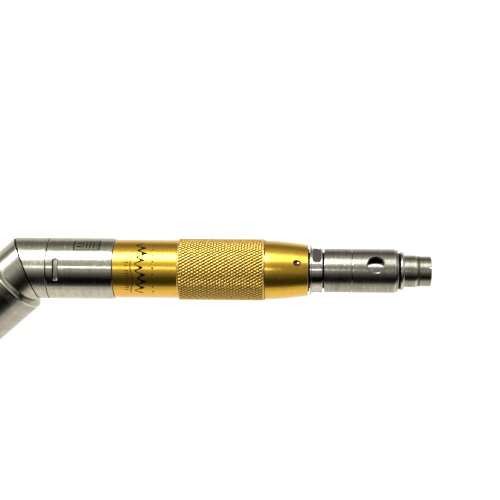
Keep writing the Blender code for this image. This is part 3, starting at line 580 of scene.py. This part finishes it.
def elbow():
    """The two halves, each cut off along the mitre plane, with seats for the ring, seals and swivel."""
    ring = (SLOT_X - 0.85, SLOT_X + 0.85, 7.45)
    front = [
        (GAP, 3.5, 0.1, 1.0),
        (GAP, BARREL_R, 0.06, 1.0),
        (FRONT_HALF_END, BARREL_R, 0.14),
        (FRONT_HALF_END, 8.15),
        *grooves((8.0, 9.2, 7.3), ring, r=8.15),
        (12.7, 8.15),
        (12.7, 3.5),
    ]
    made = turned("elbow_front_look", front)
    carve(made, turned("cutter", rod(-1, 3.0, 6.3), MITRE, sides=FINE))
    put(made, "brushed_steel", "elbow_front_half")
    rear = [
        (GAP, 3.5, 0.1, 1.0),
        (GAP, BARREL_R, 0.06, 1.0),
        (REAR_HALF_END, BARREL_R, 0.14),
        (REAR_HALF_END, 8.0),
        *grooves((8.6, 10.0, 7.2), (17.6, 19.0, 7.2), (22.7, 23.7, 7.3), r=8.0),
        (24.6, 8.0),
        (24.6, 3.5),
    ]
    made = turned("elbow_rear_look", rear, ARM)
    carve(made, turned("cutter", rod(-3.6, 1, 4.6), MITRE, sides=FINE))
    put(made, "arm_steel", "elbow_rear_half")


def hose_end():
    """The rear sleeve, with turned lines at its shoulder, and the threaded, ported hose connector."""
    lines = [(6.35 + 0.55 * k, 6.5 + 0.55 * k, 11.36) for k in range(4)]
    lines += [(31.2, 31.7, 11.2), (32.6, 33.1, 11.2)]
    sleeve = [
        (4.5, 8.15),
        (4.5, 9.7, 0.1),
        (5.5, SLEEVE_R, 0.25),
        *[(*p, 0.03) for p in grooves(*lines, r=SLEEVE_R)],
        (36.0, SLEEVE_R, 0.5),
        (36.0, SLEEVE_BORE_R),
        (22.5, SLEEVE_BORE_R),
        (22.5, 8.15),
    ]
    put(turned("hose_coupling_look", sleeve, ARM), "sleeve_steel", "hose_end")
    thread = [p for k in range(8) for p in ((37.5 + 0.75 * k, 7.6, 0.06), (37.87 + 0.75 * k, 7.2, 0.06))]
    insert = [(26.0, 0), (26.0, 8.88), (36.6, 8.88, 0.2), (36.6, 7.3), (37.1, 7.3), *thread]
    insert += [(43.6, 7.6, 0.1), (44.0, 7.2, 0.1), (44.0, 0)]
    made = turned("hose_insert_look", insert, ARM)
    ports = []
    for radius, distance, at in ((1.9, 3.7, 97), (1.6, 3.9, 277), (0.7, 4.3, 7), (0.7, 4.3, 187)):
        wide = [(25, 0), (25, radius), (43.85, radius), (44.05, radius + 0.2), (45, radius + 0.2), (45, 0)]
        tool = turned("cutter", wide, ARM, fillet=0, sides=48)
        turn = math.radians(at)
        shift = np.array([0, distance * math.cos(turn), distance * math.sin(turn)]) @ ARM.axes * MM
        tool.data.transform(Matrix.Translation(Vector(shift)))
        ports.append(tool)
    put(carve(made, *ports), "arm_satin", "hose_end")


# Barrel


def housing():
    """The rear shell with its slot and dimple, and the sprung ring that shows in the slot."""
    shell = [
        (7.6, 8.4),
        (7.6, BARREL_R, 0.16),
        (HOUSING_END, BARREL_R, 0.2),
        (HOUSING_END, SHELL_BORE_R),
        (13.2, SHELL_BORE_R),
        (13.2, 8.4),
        (11.3, 8.4),
        (11.3, 9.08),
        (9.7, 9.08),
        (9.7, 8.4),
    ]
    made = turned("rear_housing_look", shell)
    middle = sum(SLOT_ARC) / 2
    length = 2 * BARREL_R * math.sin(math.radians(SLOT_ARC[1] - SLOT_ARC[0]) / 2)
    slot = cutter(stadium(SLOT_WIDTH, length, False), SLOT_X, middle, BARREL_R, 6.5, flare=0.07)
    dimple = cutter(stadium(0.5, 0.5, True, 24), 13.04, 62.0, BARREL_R, 9.05, flare=0.2)
    put(carve(made, slot, dimple), "housing", "barrel")
    ring = turned("retaining_ring_look", tube(SLOT_X - 0.57, SLOT_X + 0.57, 7.65, 8.95), fillet=0.22)
    gap = cutter(stadium(5.8, 8.0, False), SLOT_X, -TOP, 9.0, 6.0)
    put(carve(ring, gap), "blasted", "barrel")


def knurl_radius(i, j):
    """The radius at step i along and step j round, where a cut is KNURL_STEPS steps wide.

    A groove's floor is where i + j or i - j is a whole number of cuts. From there the surface climbs
    towards the middle of a diamond, as far as the nearer floor lets it. The cuts of i - j are
    shallower, and all of them fade out at the knurl's two ends.
    """
    half = KNURL_STEPS // 2
    from_floor = [np.abs((k + half) % KNURL_STEPS - half) for k in (i + j, i - j)]
    climb = np.array([0.0, 0.5, 0.85, 0.97, 1.0])
    height = np.minimum(climb[from_floor[0]], 0.62 + 0.38 * climb[from_floor[1]])
    depth = KNURL_DEPTH * np.clip(np.minimum(i, i[::-1]) / 2, 0, 1)
    return KNURL_R - depth * (1 - height)


def knurl_faces(rows, columns, first):
    """A grid's squares, each halved along the groove that crosses it. The knurl starts at row first."""
    row, j = np.arange(rows)[:, None], np.arange(columns)[None, :]
    below, right = (row + 1) % rows, (j + 1) % columns
    corners = row * columns + j, below * columns + j, below * columns + right, row * columns + right
    a, b, c, d = (np.broadcast_to(corner, (rows, columns)) for corner in corners)
    across = ((row - first + j + 1) % KNURL_STEPS == 0)[..., None]
    one = np.where(across, np.stack([a, b, d], -1), np.stack([a, b, c], -1))
    two = np.where(across, np.stack([b, c, d], -1), np.stack([a, c, d], -1))
    return np.concatenate([one.reshape(-1, 3), two.reshape(-1, 3)]).tolist()


def grip():
    """The gold sleeve as one grid (x, r cos t, r sin t), where r is the outline's or the knurl's."""
    start, end = KNURL_START + 0.3, KNURL_END - 0.3
    foot = KNURL_R - 0.22
    rear = [(GRIP_START, SHELL_BORE_R, 0.08), (GRIP_START, BAND_R, 0.14), (KNURL_START, BAND_R, 0.05)]
    rear += [(KNURL_START, foot, 0.06), (start - 0.02, KNURL_R, 0.05)]
    front = [(end + 0.02, KNURL_R, 0.05), (KNURL_END, foot, 0.06), (KNURL_END, SHELL_BORE_R, 0.08)]
    outline, edge = rounded(rear + front, 0.08)
    split = int(np.argmax(outline[:, 0] > (start + end) / 2 - 1))
    along = KNURL_ALONG * KNURL_STEPS
    i = np.arange(along + 1)[:, None]
    j = np.arange(KNURL_AROUND * KNURL_STEPS)[None, :]
    x = start + (end - start) * i / along + 0 * j
    knurl = np.stack([x, knurl_radius(i, j)], axis=-1)
    plain = np.repeat(outline[:, None, :2], j.size, axis=1)
    grid = np.concatenate([plain[:split], knurl, plain[split:]])
    turn = math.tau * j / j.size
    local = np.stack([grid[..., 0], grid[..., 1] * np.cos(turn), grid[..., 1] * np.sin(turn)], axis=-1)
    worn = np.concatenate([edge[:split], np.zeros(len(i)), edge[split:]])
    faces = knurl_faces(*grid.shape[:2], split)
    made = piece("grip_sleeve_look", BARREL.world(local), faces, np.repeat(worn[:, None], j.size, 1))
    put(made, "marked_gold", "grip")


def collar_radius(part):
    """The radius falls from 9.2 to 7.95 with the 1.6th power of the way along."""
    return 9.2 - 1.25 * part**1.6


def collar():
    """The tapering collar, with the pocket and the hole that its cam pin shows in."""
    part = np.linspace(0, 1, 25)[1:-1]
    x = COLLAR[0] + (COLLAR[1] - 0.2 - COLLAR[0]) * part
    curve = [(px, pr, 0.0) for px, pr in zip(x.tolist(), collar_radius(part).tolist())]
    outline = [(COLLAR[0], SHELL_BORE_R), (COLLAR[0], collar_radius(0), 0.12), *curve]
    outline += [(COLLAR[1], 7.93, 0.16), (COLLAR[1], 6.75), (78.2, 6.75), (78.2, SHELL_BORE_R)]
    made = turned("front_collar_look", outline)
    surface_r = collar_radius((INDEX_X - COLLAR[0]) / (COLLAR[1] - COLLAR[0]))
    pocket = cutter(stadium(1.75, 2.35, True), INDEX_X, TOP, surface_r, 7.3, flare=0.08)
    hole = cutter(stadium(1.06, 1.06, True, 32), PIN_X, TOP, 7.6, 6.2, flare=0.02)
    put(carve(made, pocket, hole), "gold_anodised", "grip")


def nose():
    """The flanged pocket ring, the two outer tubes and the snap ring, all carried on one core."""
    ring = [
        (88.95, TUBE_BORE_R),
        (88.95, 7.78, 0.1),
        (89.4, 7.78, 0.12),
        (89.4, 6.88, 0.05),
        (92.8, 6.88, 0.22),
        (92.8, TUBE_BORE_R),
    ]
    made = turned("pocket_ring_look", ring)
    pockets = [cutter(stadium(2.6, 6.6, False), 91.05, 56 + 120 * k, 6.88, 6.1) for k in range(3)]
    put(carve(made, *pockets), "polished_steel", "barrel")
    rear = turned("nose_tube_rear_look", tube(93.35, 101.8, TUBE_BORE_R, TUBE_R), fillet=0.16)
    put(rear, "satin_steel", "barrel")
    front = [
        (101.95, TUBE_BORE_R),
        (101.95, TUBE_R, 0.14),
        (115.1, TUBE_R, 0.2),
        (116.1, TUBE_R - 0.4, 0.14),
        (116.1, TUBE_BORE_R),
    ]
    made = turned("nose_tube_front_look", front)
    window = stadium(2 * WINDOW_R, 2 * WINDOW_R, True, 72)
    carve(made, cutter(window, WINDOW_X, TOP, TUBE_R, 3.5, flare=0.2))
    put(made, "satin_steel", "barrel")
    snap = [(116.9, 4.85), (116.9, 6.05, 0.16), (117.4, 6.05, 0.12), (117.9, 5.75, 0.12), (117.9, 4.85)]
    gap = cutter(stadium(2.0, 4.0, True), 117.4, -TOP, 6.1, 3.0)
    put(carve(turned("snap_ring_look", snap), gap), "spring_steel", "barrel")
    core = [
        (72.0, 5.5),
        (72.0, 7.35),
        (77.8, 7.35),
        (77.8, 6.6),
        (88.7, 6.6),
        (88.7, CORE_R),
        (116.85, CORE_R, 0.12),
        (116.85, 4.75),
        (117.95, 4.75),
        (117.95, SPIGOT_R, 0.1),
        (121.6, SPIGOT_R, 0.25),
        (122.5, TIP_R, 0.3),
        (TIP, TIP_R, 0.5),
        (TIP, 3.9, 0.12),
        (122.9, 3.9),
        (122.9, 3.4),
        (121.5, 3.4),
        (121.5, 4.05),
        (116.6, 4.05),
        (116.6, 4.75),
        (88.0, 4.75),
        (88.0, 5.5),
    ]
    made = turned("nose_core_look", core)
    sight = cutter(window, WINDOW_X, TOP, CORE_R, 3.0, flare=0.03)
    notch = cutter(stadium(0.8, 1.6, True, 32), TIP, TOP, TIP_R, 3.7, flare=0.06)
    cam_slot = cutter(stadium(1.2, 6.5, False), PIN_X, TOP + 22.5, 6.6, 4.4, flare=0.03)
    put(carve(made, sight, notch, cam_slot), "gap_shaded_steel", "barrel")


# Working parts


def chuck():
    """The turning tube, the slit collet with the hole for its cross pin, the bushing that guides them and the dust
    seal.
    """
    tube_outline = [
        (62.0, 1.58),
        (62.0, 3.6),
        (94.0, 3.6),
        (94.5, 4.4),
        (115.8, 4.4),
        (116.3, 3.0),
        (122.7, 3.0),
        (122.7, 2.55),
        (105.4, 2.55),
        (105.4, 1.5),
        (103.9, 1.5),
        (103.9, 2.6),
        (72.0, 2.6),
        (72.0, 1.58),
    ]
    made = turned("chuck_tube_look", tube_outline, sides=FINE)
    slots = [cutter(stadium(1.5, 3.0, True, 48), 87.8, at, 3.6, 1.9, flare=0.05) for at in (TOP, -TOP)]
    put(carve(made, *slots), "polished_steel", "rotor_shaft")
    outline = [
        (84.4, 0),
        (84.4, 2.4),
        (89.8, 2.4),
        (89.8, 1.3),
        (109.0, 1.3),
        (109.5, 2.4),
        (124.8, 2.4, 0.3),
        (124.8, 1.18, 0.15),
        (111.0, 1.18),
        (111.0, 0),
    ]
    made = turned("collet_look", outline, sides=FINE)
    slits = [cutter(stadium(0.4, 14, True), 119.5, 120 * k + 90, 2.4, 0.6, flare=0.02) for k in range(3)]
    hole = cutter(stadium(1.34, 1.34, True, 48), CROSS_PIN_X, TOP, 2.4, -4.0, flare=0.05)
    put(carve(made, *slits, hole), "bearing_steel", "collet")
    bushing = turned("nose_bushing_look", tube(117.0, 121.3, 3.1, 3.95), sides=FINE)
    put(bushing, "bronze", "barrel")
    seal = turned("dust_seal_look", tube(123.1, 124.5, 2.75, 3.75), fillet=0.2, sides=FINE)
    put(seal, "black_rubber", "barrel")


def pin_line(x):
    """The line that a pin across the barrel lies on."""
    return Line(CENTRE + (x, 0, 0), (0, 0, 1))


def spring():
    """A circle carried along the helix (x0 + p t, R cos t, R sin t), its ends closed."""
    turns, steps, sides = 6, 40, 12
    wire, r, start, end = 0.28, 2.0, 90.58, 103.22
    t = np.linspace(0, math.tau * turns, steps * turns)[:, None]
    pitch = (end - start) / (math.tau * turns)
    middle = np.stack([start + pitch * t, r * np.cos(t), r * np.sin(t)], axis=-1)
    outward = np.stack([0 * t, np.cos(t), np.sin(t)], axis=-1)
    tangent = np.stack([pitch + 0 * t, -r * np.sin(t), r * np.cos(t)], axis=-1)
    sideways = np.cross(tangent / np.linalg.norm(tangent, axis=-1, keepdims=True), outward)
    turn = np.linspace(0, math.tau, sides, endpoint=False)[None, :, None]
    rings = middle + wire * (np.cos(turn) * outward + np.sin(turn) * sideways)
    first, last = (np.broadcast_to(tip, (1, *rings.shape[1:])) for tip in (middle[:1], middle[-1:]))
    local = np.concatenate([first, rings, last])
    made = piece("collet_spring_look", BARREL.world(local), grid_faces(len(local), sides, False))
    put(made, "spring_steel", "rotor_shaft")
    shoulder = 103.5
    anchor = BARREL.world(np.array([shoulder, 0, 0]))
    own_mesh(made)


def inside():
    """The turned parts that the shells hide, as outlines carried round their lines."""
    pin = [(4.85, 0), (4.85, 0.42), (8.1, 0.42, 0.3), (8.1, 0)]
    plain = (
        ("swivel_retainer", tube(0.25, 1.05, 4.68, 6.15), MITRE, "bronze", "elbow_front_half"),
        ("swivel_washer", tube(2.35, 2.85, 4.0, 6.0), MITRE, "spring_steel", "elbow_front_half"),
        ("elbow_oring", ring_of(8.6, 7.88, 0.36), BARREL, "black_rubber", "elbow_front_half"),
        ("coupling_oring_front", ring_of(9.3, 7.66, 0.36), ARM, "black_rubber", "elbow_rear_half"),
        ("coupling_oring_rear", ring_of(18.3, 7.66, 0.36), ARM, "black_rubber", "elbow_rear_half"),
        ("grip_oring", ring_of(34.0, 8.27, 0.22), BARREL, "black_rubber", "barrel"),
        ("cartridge_spacer", tube(14.0, 21.85, 6.0, CARTRIDGE_R), BARREL, "satin_steel", "barrel"),
        ("preload_washer", tube(56.6, 57.2, 3.9, 5.2), BARREL, "spring_steel", "barrel"),
        ("front_nut", tube(57.5, 60.5, 4.2, CARTRIDGE_R), BARREL, "satin_steel", "barrel"),
        ("rear_bearing_outer", tube(22.4, 24.9, 3.72, BEARING_R), BARREL, "bearing_steel", "barrel"),
        ("rear_bearing_inner", tube(22.4, 24.9, 1.6, 2.28), BARREL, "bearing_steel", "rotor_shaft"),
        ("front_bearing_outer", tube(53.5, 56.0, 3.72, BEARING_R), BARREL, "bearing_steel", "barrel"),
        ("front_bearing_inner", tube(53.5, 56.0, 1.6, 2.28), BARREL, "bearing_steel", "rotor_shaft"),
        ("spindle", rod(20.5, 69.5, 1.5), BARREL, "bearing_steel", "rotor_shaft"),
        ("cam_pin", pin, pin_line(PIN_X + 0.05), "satin_steel", "grip"),
        ("cross_pin", rod(-4.6, 4.6, 0.6), pin_line(CROSS_PIN_X), "bearing_steel", "collet"),
    )
    for name, outline, line, finish, body in plain:
        put(turned(f"{name}_look", outline, line, sides=FINE), finish, body)
    stem = [(-3.4, 3.1), (-3.4, 4.42), (1.25, 4.42), (1.25, 5.95), (2.2, 5.95), (2.2, 3.1)]
    put(turned("swivel_journal_look", stem, MITRE), "bearing_steel", "elbow_rear_half")
    clip = turned("coupling_retainer_look", tube(22.8, 23.6, 7.45, 8.75), ARM)
    gap = cutter(stadium(5.8, 8.0, False), 23.2, -TOP, 9.0, 6.0, ARM)
    put(carve(clip, gap), "spring_steel", "elbow_rear_half")
    oring_seat = grooves((33.4, 34.6, 7.98), r=MOTOR_R)
    body = [(13.5, 7.45), (13.5, MOTOR_R), *oring_seat, (78.0, MOTOR_R), (78.0, 7.45)]
    # The motor body takes the dark blasted finish so that the strip of it seen between housing and grip is dark:
    # painted shade in that gap
    put(turned("motor_body_look", body), "blasted", "barrel")
    rear = [(22.0, 4.58), (22.0, CARTRIDGE_R), (28.0, CARTRIDGE_R), (28.0, 1.9), (25.1, 1.9), (25.1, 4.58)]
    put(turned("rear_end_plate_look", rear), "satin_steel", "barrel")
    front = [(50.4, 1.9), (50.4, CARTRIDGE_R), (56.4, CARTRIDGE_R), (56.4, 4.58), (53.3, 4.58), (53.3, 1.9)]
    put(turned("front_end_plate_look", front), "satin_steel", "barrel")
    bore = turned("cutter", rod(20, 60, 5.8), Line(CENTRE + (0, 0.65, 0), (1, 0, 0)), sides=FINE)
    liner = carve(turned("motor_liner_look", rod(28.2, 50.2, CARTRIDGE_R)), bore)
    put(liner, "bronze", "barrel")
    slots = [cutter(stadium(0.91, 24.0, True), 39.2, 90 * k + 45, 5.0, 2.3, flare=0.05) for k in range(4)]
    rotor = carve(turned("rotor_look", tube(28.45, 49.95, 1.58, 5.0)), *slots)
    put(rotor, "satin_steel", "rotor_shaft")


elbow()
hose_end()
housing()
grip()
collar()
nose()
chuck()
spring()
inside()
# The CAD pieces that nothing above stands for stay in sight, so they get a finish too
for part in frame["record"]["subparts"]:
    node = frame["nodes"][part["node"]]
    if not node.hide_render:
        node.data.materials.clear()
        node.data.materials.append(FINISHES[part["material_slot"]])


# Floor, light and camera

VIEW_TILT, VIEW_YAW, VIEW_ROLL = (math.radians(a) for a in (16.2, 2.7, 0.49))
# Directions of the view before its yaw and roll: to its right, up it and towards the camera
ACROSS = np.array([1.0, 0, 0])
UPWARDS = np.array([0, math.cos(VIEW_TILT), math.sin(VIEW_TILT)])
TOWARDS = np.array([0, -math.sin(VIEW_TILT), math.cos(VIEW_TILT)])


# Brightness of the room round the barrel, by the angle in degrees from the camera
ROOM = (
    (-180, 0.6),
    (-75, 0.35),
    (-67, 0.07),
    (-58, 0.002),
    (-38, 0.003),
    (-30, 0.05),
    (-17, 0.19),
    (-8, 0.45),
    (12, 0.48),
    (22, 0.6),
    (36, 0.95),
    (66, 0.95),
    (80, 0.5),
    (92, 0.3),
    (104, 0.13),
    (180, 0.5),
)


def floor():
    """A pale sheet just under the object.

    Seen straight on it is evenly lit, with the faintest of shadows. What the metal mirrors of it is
    brightest under the barrel. It falls off to both sides, and most on the soft box's side.
    """
    low = min(corner[2] for corner in CAD_BOX) - FLOOR_GAP * MM
    mesh = bpy.data.meshes.new("floor")
    half = 3000 * MM
    corners = [(-half, -half, low), (half, -half, low), (half, half, low), (-half, half, low)]
    mesh.from_pydata(corners, [], [(0, 1, 2, 3)])
    sheet = bpy.data.objects.new("floor", mesh)
    bpy.context.scene.collection.objects.link(sheet)
    made = bpy.data.materials.new("floor_sheet")
    made.use_nodes = True
    finish = Finish(made.node_tree)
    away = finish.local(BARREL)[1]
    mirrored = 1.0 - away.rise(5, 140) * 0.8 - away.rise(-60, -140) * 0.3
    glow = finish.node("ShaderNodeEmission", None, {"Color": (1, 0.95, 0.88, 1), "Strength": mirrored})
    paper = finish.node("ShaderNodeBsdfDiffuse", None, {"Color": (0.12, 0.12, 0.12, 1)})
    lamp = finish.node("ShaderNodeEmission", None, {"Strength": 0.97})
    seen = finish.node("ShaderNodeAddShader", None, {0: paper, 1: lamp})
    straight = finish.node("ShaderNodeLightPath")
    both = finish.node("ShaderNodeMixShader", None, {0: straight, 1: glow, 2: seen})
    finish.node("ShaderNodeOutputMaterial", None, {0: both})
    mesh.materials.append(made)


def lights():
    """A long soft box above one side, a weak one past the nose, a narrow strip beside the camera.

    The room's brightness goes by the angle round the barrel, counted from the camera. The part of it
    on the camera's side is dimmer towards the nose.
    """
    world = bpy.data.worlds.new("studio")
    world.use_nodes = True
    bpy.context.scene.world = world
    finish = Finish(world.node_tree)
    here = finish.node("ShaderNodeTexCoord", output=0)
    settings = {"operation": "DOT_PRODUCT"}
    side, near = (
        finish.node("ShaderNodeVectorMath", settings, {0: here, 1: tuple(axis)}, "Value")
        for axis in (UPWARDS, TOWARDS)
    )
    at = side.maths("ARCTAN2", near) * math.degrees(1)
    stops = [((angle + 180) / 360, (level, level, level, 1)) for angle, level in ROOM]
    fill = finish.node("ShaderNodeValToRGB", {"stops": stops}, {0: (at + 180) * (1 / 360)})
    straight = finish.node("ShaderNodeLightPath")
    ahead = finish.node("ShaderNodeSeparateXYZ", None, {0: here})
    dim = 1 - ahead.rise(-0.02, 0.07) * at.near(0, 30, 12) * 0.45
    strength = fill * dim * (1 - straight) + straight
    shade = finish.node("ShaderNodeBackground", None, {0: (1, 0.98, 0.94, 1), 1: strength})
    finish.node("ShaderNodeOutputWorld", None, {0: shade})
    lamp("soft_box", at=49.5, far=300, half_angle=13.5, span=(-700, 88), brightness=9.0)
    lamp("tip_box", at=49.5, far=300, half_angle=13.5, span=(90, 210), brightness=1.4)
    lamp("strip", at=4.5, far=450, half_angle=2.6, span=(-260, 112), brightness=3.2)


def lamp(name, at, far, half_angle, span, brightness):
    """A flat lamp alongside the barrel, at an angle from the camera, lighting as a plain bright panel."""
    turn = math.radians(at)
    towards = UPWARDS * math.sin(turn) + TOWARDS * math.cos(turn)
    width = 2 * far * math.tan(math.radians(half_angle)) * MM
    length = (span[1] - span[0]) * MM
    made = bpy.data.lights.new(name, "AREA")
    made.shape, made.size, made.size_y = "RECTANGLE", length, width
    made.energy = brightness * math.pi * length * width
    panel = bpy.data.objects.new(name, made)
    bpy.context.scene.collection.objects.link(panel)
    across = np.cross(towards, ACROSS)
    middle = BARREL.origin + ACROSS * sum(span) / 2 + towards * far
    place = np.eye(4)
    place[:3, 0], place[:3, 1], place[:3, 2] = ACROSS, across, towards
    place[:3, 3] = middle * MM
    panel.matrix_world = Matrix(place.tolist())
    panel.visible_camera = False


def camera():
    """A long lens above the barrel's side, aimed near the barrel's middle."""
    yaw, roll = VIEW_YAW, VIEW_ROLL
    aim_right, aim_up, distance = 70.12, 5.58, 404.8
    level = ACROSS * math.cos(yaw) - TOWARDS * math.sin(yaw)
    back = ACROSS * math.sin(yaw) + TOWARDS * math.cos(yaw)
    right = level * math.cos(roll) + UPWARDS * math.sin(roll)
    up = UPWARDS * math.cos(roll) - level * math.sin(roll)
    centre = BARREL.origin + right * aim_right + up * aim_up
    lens = bpy.data.cameras.new("camera")
    lens.lens, lens.sensor_width = 92.5, 36.0
    lens.clip_start = 10 * MM
    made = bpy.data.objects.new("camera", lens)
    bpy.context.scene.collection.objects.link(made)
    matrix = np.eye(4)
    matrix[:3, 0], matrix[:3, 1], matrix[:3, 2] = right, up, back
    matrix[:3, 3] = (centre + back * distance) * MM
    made.matrix_world = Matrix(matrix.tolist())
    bpy.context.scene.camera = made


floor()
lights()
camera()
bpy.context.scene.view_settings.view_transform = "Standard"
